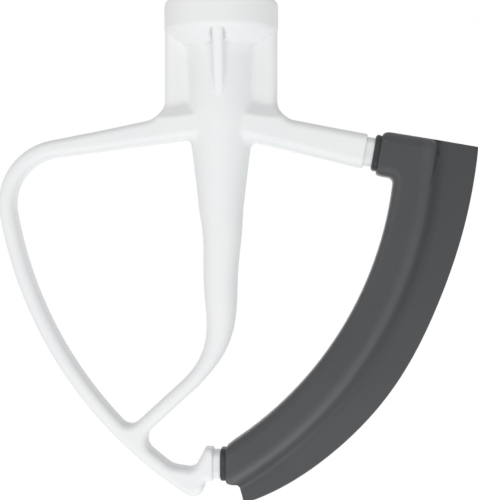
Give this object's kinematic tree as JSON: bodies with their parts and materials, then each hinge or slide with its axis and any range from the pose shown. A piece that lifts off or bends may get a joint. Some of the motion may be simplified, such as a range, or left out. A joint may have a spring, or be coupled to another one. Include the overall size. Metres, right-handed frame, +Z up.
{
  "type": "stand mixer flat beater",
  "caption": "Flat mixing beater: cast frame with a round drive socket, a loop and a bent spine, and a soft wiping blade moulded along one side.",
  "frame": {"origin": "centre of the drive socket's mouth", "axes": "+Z up the socket towards the mixer, +X towards the blade, +Y towards the back face"},
  "size_m": [0.1421, 0.0338, 0.1493],
  "materials": {
    "frame_coating": "smooth white coating, low gloss",
    "blade_rubber": "matt grey silicone"
  },
  "bodies": {
    "root": {"beater_frame": "frame_coating", "flex_edge_blade": "blade_rubber"}
  },
  "joints": []
}
